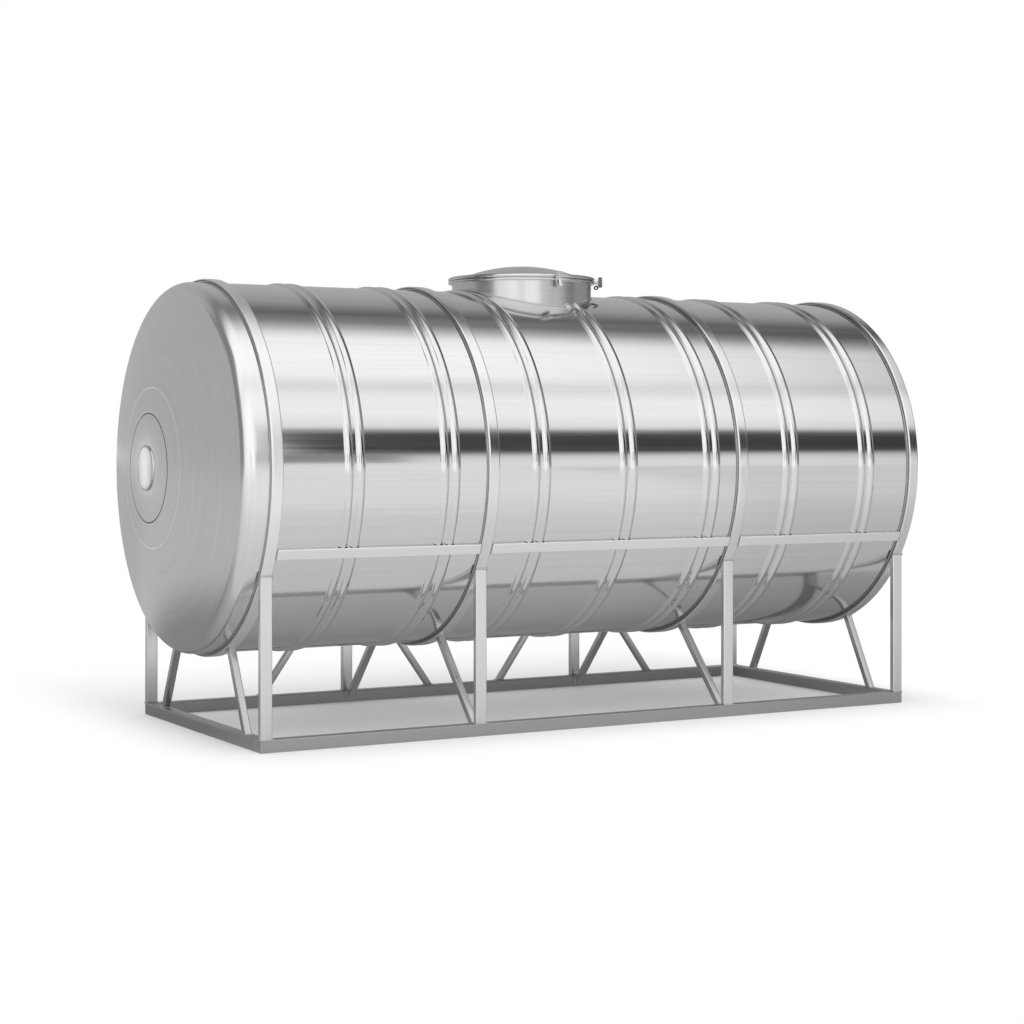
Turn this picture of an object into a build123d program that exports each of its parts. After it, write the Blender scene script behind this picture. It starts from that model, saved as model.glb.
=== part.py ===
from build123d import *
import os
from math import asin, atan2, cos, degrees, hypot, radians, sin, sqrt

# Horizontal stainless steel water tank, strapped by four hoops to a welded tube frame.
# +X runs along the tank, -Y is the side of the lid's latch, +Z is up, lengths are millimetres.
# The origin is on the floor, under the middle of the tank's overall length.

# Shell: a rolled cylinder in three courses, stiffened by pairs of swaged beads
shell_diameter = 1500.0
wall = 2.5
axis_height = 1075.0
bead_height = 8.5
bead_width = 34.0
bead_spacing = 50.0
bead_pitch = 413.0
bead_shift = 33.0
bead_pairs = 7

# Dished ends: straight flange, tight knuckle, domed crown and a round pad in the middle.
# The left end is deep, with its seam outside the hoop. The right one is shallow, with its seam
# under the hoop, which hides it from the front.
crown_radius = 2200.0
pad_diameter = 185.0
pad_height = 5.0
deep_seam_offset = 6.0
deep_flange = 45.0
deep_knuckle = 60.0
shallow_seam_inset = 25.0
shallow_flange = 10.0
shallow_knuckle = 50.0

# Hoops: flat bar rolled round the shell at the four cross frames
outer_station = 1530.0
inner_station = 603.0
hoop_width = 50.0
hoop_thickness = 15.0
seat_gap = 0.3

# Base frame and posts: the base's long sides stand in from the hoops' outermost line
base_inset = 114.3
base_tube = 50.0
post_width = 50.0
post_depth = 25.0

# Side rails: flat bars from hoop to hoop, laid on the crests of the beads
side_rail_height = 42.0
side_rail_thickness = 6.0
side_rail_angle = 25.0

# Struts from the base up to the hoops' undersides: feet by their distance in from the base's
# long sides, heads by their distance from the middle plane
strut_size = 30.0
strut_foot_inset = 195.0
strut_head = 290.0

# Braces in the rear frame, two at each inner post
brace_width = 30.0
brace_run = 415.0
brace_head_drop = 70.0

# Manway: coped neck, domed lid and rolled clamp ring
manway_station = -50.0
neck_diameter = 612.0
neck_wall = 4.0
neck_rise = 55.0
lip_width = 5.0
lip_thickness = 4.0
lid_rim_width = 16.0
lid_rise = 64.0
lid_wall = 3.0
ring_leg = 9.0
ring_lower_leg = 6.5
ring_upper_leg = 13.0
ring_bulge = 12.0

# Latch and knob that close the clamp ring
latch_width = 40.0
latch_height = 70.0
latch_depth = 12.0
latch_corner = 4.0
latch_top_over_ring = 10.0
lever_width = 26.0
lever_height = 50.0
lever_depth = 7.0
pin_diameter = 11.0
pin_length = 50.0
knob_azimuth = -29.0
knob_diameter = 46.0
knob_length = 16.0
knob_edge = 4.0
lug_width = 34.0
lug_height = 26.0
lug_reach = 16.0

# Sizes that follow from those above
shell_radius = shell_diameter / 2
left_seam = outer_station + hoop_width / 2 + deep_seam_offset
right_seam = outer_station + hoop_width / 2 - shallow_seam_inset
hoop_inner = shell_radius + seat_gap
hoop_outer = hoop_inner + hoop_thickness
hoop_seat = hoop_outer + seat_gap
base_half_length = outer_station + post_width / 2
base_half_width = hoop_outer - base_inset
post_top = axis_height - sqrt(hoop_seat ** 2 - base_half_width ** 2)
stations = (-outer_station, -inner_station, inner_station, outer_station)
axis_line = Axis((0, 0, axis_height), (1, 0, 0))
manway_line = Axis((manway_station, 0, 0), (0, 0, 1))
neck_radius = neck_diameter / 2
lip_radius = neck_radius + lip_width
rim_height = axis_height + shell_radius + neck_rise
lid_seat = rim_height + lip_thickness
ring_inner = lip_radius + seat_gap
ring_outer = ring_inner + ring_bulge
ring_bottom = rim_height - lip_thickness - seat_gap - ring_lower_leg
ring_top = lid_seat + seat_gap + ring_upper_leg


def on_axis(x, radius):
    """Point of a profile that turns about the tank's axis."""
    return (x, 0, axis_height + radius)


def on_manway(radius, z):
    """Point of a profile that turns about the manway's axis."""
    return (manway_station + radius, 0, z)


def turned(edges, line):
    """Solid turned from a closed profile about a line."""
    return revolve(make_face(edges), line)


def bead_stations(start, stop):
    """Stations of the beads that lie whole between two ends of a shell course."""
    middle = (bead_pairs - 1) / 2
    for pair in range(bead_pairs):
        for side in (-1, 1):
            station = bead_shift + (pair - middle) * bead_pitch + side * bead_spacing / 2
            if start + bead_width / 2 < station < stop - bead_width / 2:
                yield station


def beaded_line(start, stop, inset):
    """Edges of the shell's profile between two stations, inset into the wall, beads as arcs."""
    arc_radius = ((bead_width / 2) ** 2 + bead_height ** 2) / (2 * bead_height)
    radius = shell_radius - inset
    reach = sqrt((arc_radius - inset) ** 2 - (arc_radius - bead_height - inset) ** 2)
    edges = []
    last = on_axis(start, radius)
    for station in bead_stations(start, stop):
        foot = on_axis(station - reach, radius)
        end = on_axis(station + reach, radius)
        edges.append(Line(last, foot))
        edges.append(ThreePointArc(foot, on_axis(station, radius + bead_height), end))
        last = end
    edges.append(Line(last, on_axis(stop, radius)))
    return edges


def shell_course(start, stop):
    """One rolled course of the shell, its beads pushed out of an even wall."""
    edges = beaded_line(start, stop, 0)
    edges += beaded_line(start, stop, wall)
    edges.append(Line(on_axis(start, shell_radius), on_axis(start, shell_radius - wall)))
    edges.append(Line(on_axis(stop, shell_radius), on_axis(stop, shell_radius - wall)))
    return turned(edges, axis_line)


def shell_envelope():
    """The middle course as a full round, grown by the seat gap."""
    edges = beaded_line(-inner_station, inner_station, -seat_gap)
    edges.append(Line(on_axis(-inner_station, shell_radius + seat_gap), on_axis(-inner_station, 0)))
    edges.append(Line(on_axis(inner_station, shell_radius + seat_gap), on_axis(inner_station, 0)))
    edges.append(Line(on_axis(-inner_station, 0), on_axis(inner_station, 0)))
    return turned(edges, axis_line)


def dish_depth(knuckle):
    """How far an end's crown stands beyond the line where its flange meets the knuckle."""
    return crown_radius - sqrt((crown_radius - knuckle) ** 2 - (shell_radius - knuckle) ** 2)


def dished_end(seam, flange, knuckle):
    """End that closes the +X side: flange, knuckle and crown of one even wall, pad outside."""
    tangent_station = seam + flange
    knuckle_centre = shell_radius - knuckle
    crown_centre = tangent_station + dish_depth(knuckle) - crown_radius
    meeting = asin(knuckle_centre / (crown_radius - knuckle))

    def crown_point(radius, angle):
        return on_axis(crown_centre + radius * cos(angle), radius * sin(angle))

    def knuckle_point(radius, angle):
        return on_axis(tangent_station + radius * cos(angle), knuckle_centre + radius * sin(angle))

    quarter = radians(90)
    halfway = (meeting + quarter) / 2
    pad_radius = pad_diameter / 2
    pad_crown = crown_radius + pad_height
    foot = asin(pad_radius / crown_radius)
    shoulder = asin((pad_radius - pad_height) / pad_crown)
    inner_crown = crown_radius - wall
    inner_knuckle = knuckle - wall
    edges = [
        Line(on_axis(seam, shell_radius), on_axis(tangent_station, shell_radius)),
        ThreePointArc(
            on_axis(tangent_station, shell_radius),
            knuckle_point(knuckle, halfway),
            crown_point(crown_radius, meeting),
        ),
        ThreePointArc(
            crown_point(crown_radius, meeting),
            crown_point(crown_radius, (meeting + foot) / 2),
            crown_point(crown_radius, foot),
        ),
        Line(crown_point(crown_radius, foot), crown_point(pad_crown, shoulder)),
        ThreePointArc(
            crown_point(pad_crown, shoulder),
            crown_point(pad_crown, shoulder / 2),
            crown_point(pad_crown, 0),
        ),
        Line(crown_point(pad_crown, 0), crown_point(inner_crown, 0)),
        ThreePointArc(
            crown_point(inner_crown, 0),
            crown_point(inner_crown, meeting / 2),
            crown_point(inner_crown, meeting),
        ),
        ThreePointArc(
            crown_point(inner_crown, meeting),
            knuckle_point(inner_knuckle, halfway),
            on_axis(tangent_station, shell_radius - wall),
        ),
        Line(on_axis(tangent_station, shell_radius - wall), on_axis(seam, shell_radius - wall)),
        Line(on_axis(seam, shell_radius - wall), on_axis(seam, shell_radius)),
    ]
    return turned(edges, axis_line)


def round_bar(radius, width, station):
    """Full round about the tank's axis, centred on a station."""
    return Pos(station, 0, axis_height) * Rot(0, 90, 0) * Cylinder(radius, width)


def hoop(station):
    """Flat bar rolled into a ring round the shell."""
    return round_bar(hoop_outer, hoop_width, station) - round_bar(hoop_inner, hoop_width, station)


def block(low, high):
    """Box between two corners."""
    size = [b - a for a, b in zip(low, high)]
    centre = [(a + b) / 2 for a, b in zip(low, high)]
    return Pos(*centre) * Box(*size)


def post(station, side):
    """Upright, flush with the outside of the base, its top coped to the hoop."""
    upright = block(
        (station - post_width / 2, base_half_width - post_depth, base_tube),
        (station + post_width / 2, base_half_width, post_top),
    )
    coped = upright - round_bar(hoop_seat, hoop_width + post_width, station)
    return coped if side > 0 else mirror(coped, Plane.XZ)


def side_rail(start, stop, side):
    """Flat bar between two hoops, tangent to the bead crests below the tank's waist."""
    middle = shell_radius + bead_height + seat_gap + side_rail_thickness / 2
    flat = Pos(0, middle, 0) * Box(stop - start, side_rail_thickness, side_rail_height)
    placed = Pos((start + stop) / 2, 0, axis_height) * Rot(-side_rail_angle, 0, 0) * flat
    return placed if side > 0 else mirror(placed, Plane.XZ)


def strut(station, side):
    """Inclined tube from the base frame up and inwards to the hoop's underside."""
    head_height = axis_height - sqrt(hoop_seat ** 2 - strut_head ** 2)
    rail_face = base_half_width - base_tube
    on_end_rail = abs(station) == outer_station
    foot_y = base_half_width - strut_foot_inset if on_end_rail else rail_face
    foot_z = base_tube if on_end_rail else base_tube / 2
    rise = head_height - foot_z
    run = foot_y - strut_head
    lean = degrees(atan2(run, rise))
    length = hypot(rise, run) + 2 * base_tube
    centre = Pos(station, (foot_y + strut_head) / 2, (foot_z + head_height) / 2)
    bar = centre * Rot(lean, 0, 0) * Box(strut_size, strut_size, length)
    floor = base_tube if on_end_rail else 0
    room = block(
        (station - strut_size, 0, floor),
        (station + strut_size, base_half_width if on_end_rail else rail_face, axis_height),
    )
    trimmed = (bar & room) - round_bar(hoop_seat, hoop_width + strut_size, station)
    return trimmed if side > 0 else mirror(trimmed, Plane.XZ)


def brace(station, side):
    """Diagonal in the rear frame, from the base rail up to the side of an inner post."""
    head_x = post_width / 2
    head_z = post_top - brace_head_drop
    run = brace_run - head_x
    rise = head_z - base_tube
    slope = degrees(atan2(run, rise))
    length = hypot(run, rise) + 2 * base_tube
    back = base_half_width - post_depth / 2
    bar = Pos((brace_run + head_x) / 2, back, (head_z + base_tube) / 2)
    bar = bar * Rot(0, -slope, 0) * Box(brace_width, post_depth, length)
    room = block((head_x, 0, base_tube), (brace_run + base_tube, base_half_width, post_top))
    leaning = bar & room
    if side < 0:
        leaning = mirror(leaning, Plane.YZ)
    return Pos(station, 0, 0) * leaning


def manway_neck():
    """Neck with an out-turned lip, coped to the shell and its beads."""
    low = axis_height + sqrt(shell_radius ** 2 - neck_radius ** 2) - bead_height
    inner = neck_radius - neck_wall
    profile = [
        on_manway(inner, low),
        on_manway(neck_radius, low),
        on_manway(neck_radius, rim_height - lip_thickness),
        on_manway(lip_radius, rim_height - lip_thickness),
        on_manway(lip_radius, rim_height),
        on_manway(inner, rim_height),
    ]
    return turned(Polyline(*profile, close=True), manway_line) - shell_envelope()


def dome_arc(radius, rise, base):
    """Arc of a dome from its rim to its top, through a point of the same sphere."""
    sphere = (radius ** 2 + rise ** 2) / (2 * rise)
    half = asin(radius / sphere) / 2
    through = on_manway(sphere * sin(half), base + rise - sphere * (1 - cos(half)))
    return ThreePointArc(on_manway(radius, base), through, on_manway(0, base + rise))


def manway_lid():
    """Domed lid with a flat rim that lies on the neck's lip."""
    dome_radius = lip_radius - lid_rim_width
    hollow_radius = dome_radius - lid_wall
    hollow_rise = lid_rise + lip_thickness - lid_wall
    edges = [
        dome_arc(dome_radius, lid_rise, lid_seat),
        Line(on_manway(dome_radius, lid_seat), on_manway(lip_radius, lid_seat)),
        Line(on_manway(lip_radius, lid_seat), on_manway(lip_radius, rim_height)),
        Line(on_manway(lip_radius, rim_height), on_manway(hollow_radius, rim_height)),
        dome_arc(hollow_radius, hollow_rise, rim_height),
        Line(on_manway(0, rim_height + hollow_rise), on_manway(0, lid_seat + lid_rise)),
    ]
    return turned(edges, manway_line)


def clamp_ring():
    """Rolled ring round the lip and the lid's rim, two rounded beads with a valley between."""
    lower_round = (rim_height - ring_bottom) / 2
    upper_round = (ring_top - rim_height) / 2
    lower_low = on_manway(ring_outer - lower_round, ring_bottom)
    lower_high = on_manway(ring_outer - lower_round, rim_height)
    upper_low = on_manway(ring_outer - upper_round, rim_height)
    upper_high = on_manway(ring_outer - upper_round, ring_top)
    below = rim_height - lip_thickness - seat_gap
    above = lid_seat + seat_gap
    edges = [
        ThreePointArc(lower_low, on_manway(ring_outer, ring_bottom + lower_round), lower_high),
        Line(lower_high, upper_low),
        ThreePointArc(upper_low, on_manway(ring_outer, rim_height + upper_round), upper_high),
        Polyline(
            upper_high,
            on_manway(lip_radius - ring_leg, ring_top),
            on_manway(lip_radius - ring_leg, above),
            on_manway(ring_inner, above),
            on_manway(ring_inner, below),
            on_manway(neck_radius + seat_gap, below),
            on_manway(neck_radius + seat_gap, ring_bottom),
            lower_low,
        ),
    ]
    return turned(edges, manway_line)


def ring_round():
    """Full round just outside the clamp ring, over the height of the latch."""
    return Pos(manway_station, 0, rim_height) * Cylinder(ring_outer + seat_gap, 2 * latch_height)


def clamp_latch():
    """Toggle latch on the front of the clamp ring: body, lever and cross pin."""
    top = ring_top + latch_top_over_ring
    middle = top - latch_height / 2
    face = ring_outer + latch_depth
    body = block((-latch_width / 2, 0, -latch_height / 2), (latch_width / 2, face, latch_height / 2))
    body = fillet(body.edges().filter_by(Axis.Y), latch_corner)
    lever_low = -latch_height / 2 + latch_corner
    lever = block(
        (-lever_width / 2, face, lever_low), (lever_width / 2, face + lever_depth, lever_low + lever_height)
    )
    pin = Pos(0, face, rim_height - middle) * Rot(0, 90, 0) * Cylinder(pin_diameter / 2, pin_length)
    placed = Pos(manway_station, 0, middle) * Rot(0, 0, 180) * (body + lever + pin)
    return placed - ring_round()


def clamp_knob():
    """Lug on the clamp ring with the round knob of its closing bolt."""
    lug_face = ring_outer + lug_reach
    lug = block((0, -lug_width / 2, -lug_height / 2), (lug_face, lug_width / 2, lug_height / 2))
    knob = Pos(lug_face + knob_length / 2, 0, 0) * Rot(0, 90, 0) * Cylinder(knob_diameter / 2, knob_length)
    knob = fillet(knob.edges().filter_by(GeomType.CIRCLE), knob_edge)
    placed = Pos(manway_station, 0, rim_height) * Rot(0, 0, knob_azimuth) * (lug + knob)
    return placed - ring_round()


def base_rails():
    """Two long rails and the two end rails between them, lying on the floor."""
    inner = base_half_width - base_tube
    long_rail = block((-base_half_length, inner, 0), (base_half_length, base_half_width, base_tube))
    end_rail = block((base_half_length - base_tube, -inner, 0), (base_half_length, inner, base_tube))
    return {
        "base_rail_front": mirror(long_rail, Plane.XZ),
        "base_rail_rear": long_rail,
        "base_rail_left": mirror(end_rail, Plane.YZ),
        "base_rail_right": end_rail,
    }


def tank_shell():
    """The three courses, the middle one opened under the manway, and both ends."""
    opening = Pos(manway_station, 0, axis_height + shell_radius)
    opening = opening * Cylinder(neck_radius - neck_wall, shell_radius)
    deep_end = dished_end(left_seam, deep_flange, deep_knuckle)
    return {
        "shell_left": shell_course(-left_seam, -inner_station),
        "shell_middle": shell_course(-inner_station, inner_station) - opening,
        "shell_right": shell_course(inner_station, right_seam),
        "end_left": mirror(deep_end, Plane.YZ),
        "end_right": dished_end(right_seam, shallow_flange, shallow_knuckle),
    }


def cross_frames():
    """Hoop, posts and struts at each of the four stations."""
    pieces = {}
    for number, station in enumerate(stations, start=1):
        pieces[f"hoop_{number}"] = hoop(station)
        for side, name in ((-1, "front"), (1, "rear")):
            pieces[f"post_{name}_{number}"] = post(station, side)
            pieces[f"strut_{name}_{number}"] = strut(station, side)
    return pieces


def side_rails():
    """Three lengths of flat bar on each side, one in each bay."""
    pieces = {}
    for bay, (left, right) in enumerate(zip(stations, stations[1:]), start=1):
        for side, name in ((-1, "front"), (1, "rear")):
            rail = side_rail(left + hoop_width / 2, right - hoop_width / 2, side)
            pieces[f"side_rail_{name}_{bay}"] = rail
    return pieces


def rear_braces():
    """A brace on each side of the two inner rear posts."""
    places = [(station, side) for station in stations[1:3] for side in (-1, 1)]
    return {f"brace_rear_{n}": brace(*place) for n, place in enumerate(places, start=1)}


def manway():
    """Neck, lid, clamp ring and its closures."""
    return {
        "manway_neck": manway_neck(),
        "manway_lid": manway_lid(),
        "clamp_ring": clamp_ring(),
        "clamp_latch": clamp_latch(),
        "clamp_knob": clamp_knob(),
    }


left_reach = left_seam + deep_flange + dish_depth(deep_knuckle)
right_reach = right_seam + shallow_flange + dish_depth(shallow_knuckle)
centring = Pos((left_reach - right_reach) / 2, 0, 0)
os.makedirs("parts", exist_ok=True)
groups = (tank_shell(), cross_frames(), base_rails(), side_rails(), rear_braces(), manway())
for group in groups:
    for node, solid in group.items():
        export_step(centring * solid, f"parts/{node}.step")
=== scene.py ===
from math import acos, asin, atan2, copysign, cos, degrees, exp, pi, radians, sin, sqrt

import bmesh
import bpy
from bmesh.types import BMEdge, BMVert
from bpy.props import FloatProperty, FloatVectorProperty, IntProperty, PointerProperty
from mathutils import Matrix, Vector


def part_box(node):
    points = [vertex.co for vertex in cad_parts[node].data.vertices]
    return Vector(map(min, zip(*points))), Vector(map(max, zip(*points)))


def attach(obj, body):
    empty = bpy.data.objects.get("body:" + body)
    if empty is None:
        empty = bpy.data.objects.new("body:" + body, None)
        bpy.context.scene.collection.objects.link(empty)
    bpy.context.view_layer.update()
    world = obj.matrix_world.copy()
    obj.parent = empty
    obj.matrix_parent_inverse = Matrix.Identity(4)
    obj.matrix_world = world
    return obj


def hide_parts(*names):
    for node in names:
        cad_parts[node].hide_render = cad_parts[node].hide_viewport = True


bl_info = {
    "name": "Stainless water tank",
    "version": (1, 0, 0),
    "blender": (4, 5, 0),
    "location": "View3D > Sidebar > Tank",
    "description": "Dresses the packed water tank and sets it in a plain studio",
    "category": "Object",
}

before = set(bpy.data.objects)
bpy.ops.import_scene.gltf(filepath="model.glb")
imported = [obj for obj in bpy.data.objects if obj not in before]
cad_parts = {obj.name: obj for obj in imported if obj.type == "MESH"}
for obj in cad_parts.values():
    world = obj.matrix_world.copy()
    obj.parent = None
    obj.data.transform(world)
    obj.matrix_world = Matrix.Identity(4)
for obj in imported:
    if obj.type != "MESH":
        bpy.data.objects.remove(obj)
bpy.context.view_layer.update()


def middle(name):
    """Centre of a CAD node's box."""
    low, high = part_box(name)
    return (low + high) / 2


def span(name):
    """Length, width and height of a CAD node's box."""
    low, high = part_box(name)
    return high - low


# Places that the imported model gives, in metres
AXIS_HEIGHT = middle("end_left").z
FRAME_MIDDLE = (middle("hoop_2").x + middle("hoop_3").x) / 2
STATIONS = tuple(middle(f"hoop_{n}").x for n in range(1, 5))
HOOP_RADIUS = span("hoop_1").z / 2
BASE_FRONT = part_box("base_rail_front")[0].y
BASE_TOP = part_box("base_rail_front")[1].z
POST_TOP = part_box("post_front_1")[1].z
MANWAY_X = middle("manway_lid").x
LIP_RADIUS = span("manway_lid").x / 2
RIM_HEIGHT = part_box("manway_neck")[1].z
CLAMP_BOTTOM, CLAMP_TOP = (corner.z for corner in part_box("clamp_ring"))
TANK_LINE = Vector((0, 0, AXIS_HEIGHT))
MANWAY_LINE = Vector((MANWAY_X, 0, 0))
ALONG = Vector((1, 0, 0))
UP = Vector((0, 0, 1))
SIDES = {"front": -1, "rear": 1}

# How finely the round pieces are divided, which points count as one, and which edges stay sharp
ROUND_STEPS = 256
MANWAY_STEPS = 160
PAD_STEPS = 96
MERGE = 1e-6
SHARP_ANGLE = radians(38)

# Steels by their finish: colour, roughness and its spread, lay of the grain, then in millimetres the
# grain's length, which for round grain holds a metre from the middle, its width, its depth, and the depth
# and size of slow dents
STEELS = {
    # Bright annealed sheet of the shell: a mirror with faint rolling streaks along the tank
    "bright_annealed_stainless_sheet": ("polished", 0.095, 0.02, "X", 1200, 12, 0.01, 1.2, 550),
    # Buffed disc on the ends: bright, with turning marks
    "buffed_stainless_pad": ("clamp", 0.15, 0.02, "RINGS", 2000, 6, 0.004),
    # Spun ends: satin, with the spinning roller's rings, drawn coarser than the real ones
    "satin_spun_stainless_end": ("spun", 0.22, 0.03, "RINGS", 1600, 14, 0.03, 0.8, 500),
    # Satin flat bar: belt-ground along its length, drawn coarser than the real grit
    "satin_stainless_bar_tank": ("bar", 0.38, 0.04, "TANK", 500, 6, 0.008),
    "satin_stainless_bar_x": ("bar", 0.38, 0.04, "X", 500, 6, 0.008),
    # Buffed flat bar: mirrors as the shell does, a little softer, with marks round the tank
    "buffed_stainless_bar": ("buffed", 0.13, 0.02, "TANK", 500, 6, 0.004),
    # Slit edges of the hoops and the groove round a pad, unpolished, and painted dark grey as painted shade
    # of the gaps beside the hoops and of the groove: dark lines on bright steel
    "painted_shade_edge": ("cut", 0.45, 0.05, "TANK", 200, 4, 0.02),
    # Satin tube of the posts: belt-ground along its length, drawn coarser than the real grit
    "satin_stainless_tube": ("tube", 0.22, 0.04, "Z", 400, 6, 0.01),
    # Drawn tube of the struts and braces: smooth, its grey darker than the ground posts' as painted shade
    # under the tank
    "drawn_stainless_tube": ("strut", 0.2, 0.02, "Z", 400, 3, 0.004),
    # Mill-finish tube of the base: duller than the ground tube above it, and its grey darker still as
    # painted shade under the tank
    "mill_stainless_tube_x": ("base", 0.4, 0.03, "X", 500, 3, 0.004),
    "mill_stainless_tube_y": ("base", 0.4, 0.03, "Y", 500, 3, 0.004),
    # Brushed sheet of the neck and lid, turned: fine rings that soften what it mirrors
    "brushed_stainless_manway": ("manway", 0.25, 0.03, "MANWAY", 1200, 5, 0.02, 0.4, 300),
    # Bright rolled clamp: glossy, with slight drawing marks round the ring
    "bright_rolled_stainless_clamp": ("clamp", 0.1, 0.03, "MANWAY", 800, 4, 0.003),
    # Blackened steel of the knob: dark, with a dull sheen
    "blackened_steel_grip": ("grip", 0.3, 0.05, "Z", 10, 2, 0.004),
    # Cleaned weld: duller than the tube, with the ripples that the pool leaves every few millimetres
    "cleaned_stainless_weld": ("weld", 0.36, 0.08, "Z", 4, 4, 0.6),
}


def linear(hex_colour):
    """Linear red, green and blue of an sRGB hex colour."""
    shares = (int(hex_colour[k:k + 2], 16) / 255 for k in (1, 3, 5))
    return tuple(s / 12.92 if s <= 0.04045 else ((s + 0.055) / 1.055) ** 2.4 for s in shares)


def length(name, description, default):
    """A length that a user may change."""
    return FloatProperty(name=name, description=description, default=default, unit="LENGTH", precision=4)


def angle(name, description, default):
    """An angle that a user may change, its default in degrees."""
    return FloatProperty(name=name, description=description, default=radians(default), subtype="ANGLE")


def colour(name, description, hex_colour):
    """A colour that a user may change."""
    return FloatVectorProperty(
        name=name, description=description, default=linear(hex_colour), subtype="COLOR", min=0, max=1
    )


class TankSizes(bpy.types.PropertyGroup):
    """Sizes of the tank's pieces."""

    shell_radius: length("Shell radius", "Outside of the flat sheet", span("end_left").z / 2)
    sheet: length("Sheet", "Thickness of the shell and its ends", 0.0025)
    bead_height: length("Bead height", "How far a swaged bead stands out", 0.0085)
    bead_crown: length("Bead crown", "Radius over the top of a bead", 0.02125)
    bead_foot: length("Bead foot", "Radius where a bead runs into the sheet", 0.005)
    bead_spacing: length("Bead spacing", "Between the two beads of a pair", 0.05)
    bead_pitch: length("Bead pitch", "From one pair to the next", 0.413)
    bead_shift: length("Bead shift", "Of the pattern, along the tank from the frame's middle", 0.033)
    bead_pairs: IntProperty(name="Bead pairs", description="Along the whole shell", default=7, min=1)
    flat_step: length("Flat step", "Longest face between two beads", 0.04)
    crown_radius: length("Crown radius", "Of the dished ends", 2.2)
    deep_knuckle: length("Deep knuckle", "Radius at the rim of the left end", 0.06)
    shallow_knuckle: length("Shallow knuckle", "Radius at the rim of the right end", 0.05)
    pad_radius: length("Pad radius", "Of the round pad in the middle of an end", 0.0925)
    pad_height: length("Pad height", "How far the pad stands out", 0.005)
    ring_width: length("Ring width", "Half width of a spinning ring on the ends", 0.003)
    hoop_thickness: length("Hoop thickness", "Of the rolled flat bar", 0.015)
    hoop_edge: length("Hoop edge", "Rounded edge of the hoops", 0.0085)
    seat_gap: length("Seat gap", "Between pieces that rest on each other", 0.0003)
    rail_height: length("Rail height", "Width of the side rails' flat bar", 0.042)
    rail_thickness: length("Rail thickness", "Of the side rails' flat bar", 0.006)
    rail_angle: angle("Rail angle", "Of the side rails below the waist", 25)
    rail_roll: length("Rail roll", "Rounded upper edge of the side rails", 0.0045)
    rail_lip: length("Rail lip", "Thickness of the side rails' turned-in upper lip", 0.003)
    bar_edge: length("Bar edge", "Rounded edge of flat bars", 0.0022)
    tube_corner: length("Tube corner", "Outside radius of the frame tubes' corners", 0.005)
    post_depth: length("Post depth", "Of the posts and braces, across the frame", 0.025)
    strut_size: length("Strut size", "Side of the square struts", 0.03)
    strut_foot_inset: length("Strut foot inset", "From the base's side, on the end rails", 0.195)
    strut_head: length("Strut head", "From the middle plane", 0.29)
    brace_width: length("Brace width", "Of the rear diagonals", 0.03)
    brace_run: length("Brace run", "From the post's middle to the foot", 0.415)
    brace_head_drop: length("Brace head drop", "Below the posts' tops", 0.07)
    weld_radius: length("Weld radius", "Of the fillet welds between tubes", 0.0032)
    neck_weld_radius: length("Neck weld radius", "Of the fillet weld round the neck's foot", 0.0045)
    neck_wall: length("Neck wall", "Thickness of the manway's neck", 0.004)
    lip_width: length("Lip width", "How far the neck's lip turns out", 0.005)
    lip_thickness: length("Lip thickness", "Of the neck's lip and the lid's rim", 0.004)
    lid_rim_width: length("Lid rim width", "Flat round the dome", 0.016)
    lid_wall: length("Lid wall", "Thickness of the lid's dome", 0.003)
    ring_leg: length("Ring leg", "How far the clamp ring reaches in over the lid's rim", 0.009)
    ring_bulge: length("Ring bulge", "How far the clamp ring stands out from the lip", 0.012)


class TankFinishes(bpy.types.PropertyGroup):
    """Colours of the tank's metals."""

    polished: colour("Polished sheet", "Bright annealed sheet of the shell", "#dededf")
    spun: colour("Spun ends", "Satin of the dished ends", "#e6e6e6")
    bar: colour("Flat bar", "Satin of the end hoop and side rails", "#eeeeee")
    buffed: colour("Buffed bar", "Bright face of the other hoops", "#e4e4e4")
    # Cut edge grey: painted shade of the gaps beside the hoops and of the ends' first ring groove
    cut: colour("Cut edge", "Slit edges of the hoops", "#7c7c7c")
    tube: colour("Tube", "Ground tube of the posts", "#dedede")
    # Strut and base greys are darker than the posts' as painted shade under the tank
    strut: colour("Strut", "Drawn tube of the struts and braces", "#c4c4c4")
    base: colour("Base", "Mill-finish tube of the base", "#aeaeae")
    manway: colour("Manway", "Brushed sheet of the neck and lid", "#d6d6d6")
    clamp: colour("Clamp", "Bright rolled ring, latch and knob", "#d8d8d9")
    grip: colour("Grip", "Blackened steel of the knob and its eye", "#727272")
    weld: colour("Weld", "Cleaned weld metal", "#c6c5c3")
    floor: colour("Floor", "Matt white paper", "#f4f4f4")


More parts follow.
